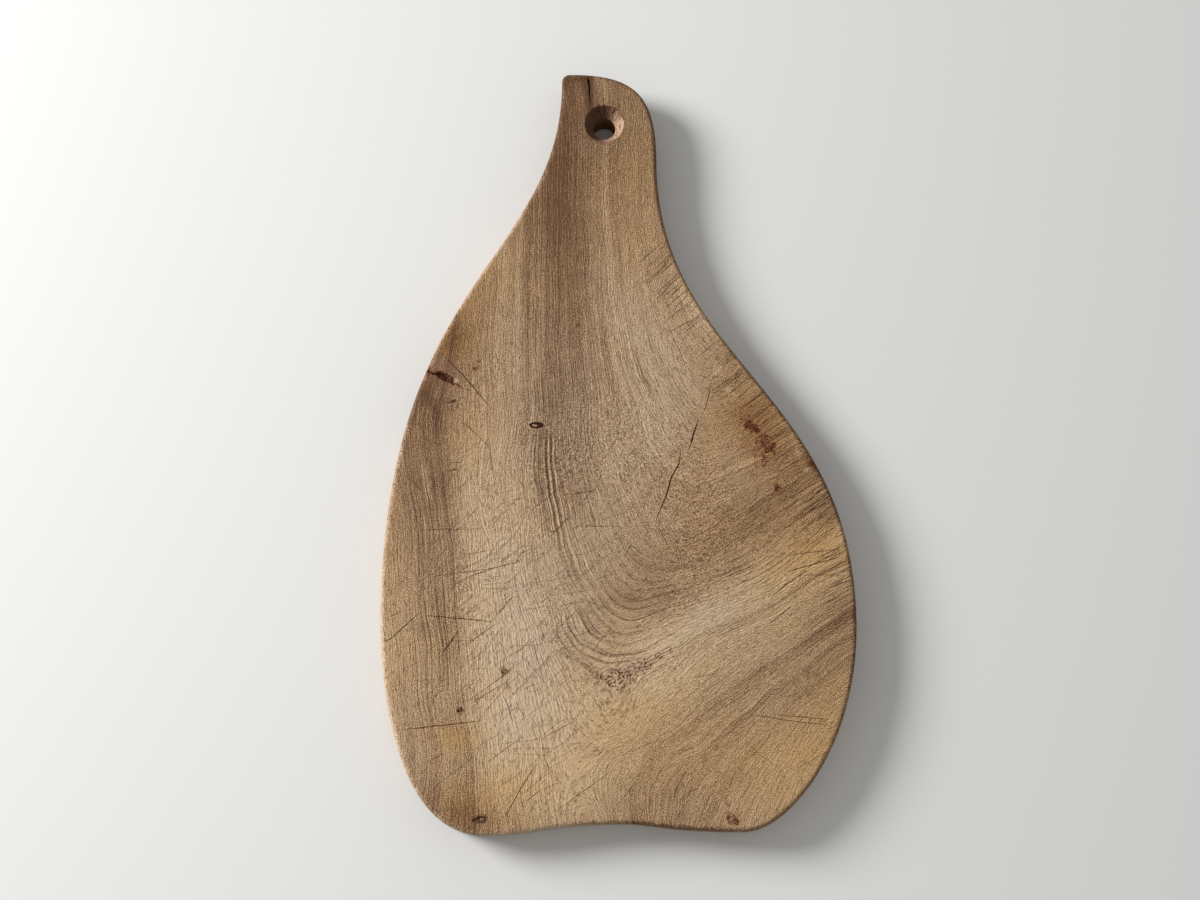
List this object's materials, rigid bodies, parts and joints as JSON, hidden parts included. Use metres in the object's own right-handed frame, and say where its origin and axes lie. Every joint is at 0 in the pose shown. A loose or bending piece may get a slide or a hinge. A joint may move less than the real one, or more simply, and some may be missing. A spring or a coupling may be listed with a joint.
{
  "type": "paddle cutting board",
  "caption": "Pear-shaped wooden paddle cutting board with a leaning handle, a countersunk hanging hole, rounded edges and dead knots set in the worn plank.",
  "frame": {"origin": "on the back face, under the middle of the board's outline", "axes": "the board lies on its back: +Z out of the cutting face, +Y along the board towards the handle, +X to the right seen from the front"},
  "size_m": [0.237, 0.4, 0.02],
  "materials": {
    "board_wood": "bare hardwood with curved crotch figure, worn dull and scored by knives",
    "branch_wood": "reddish brown knot wood with a dark open heart, worn dull",
    "dark_branch_wood": "dark brown dead knot wood, dull"
  },
  "bodies": {
    "root": {"board": "board_wood", "edge_knot": "branch_wood", "pin_knot": "dark_branch_wood", "foot_knot": "dark_branch_wood"}
  },
  "joints": []
}
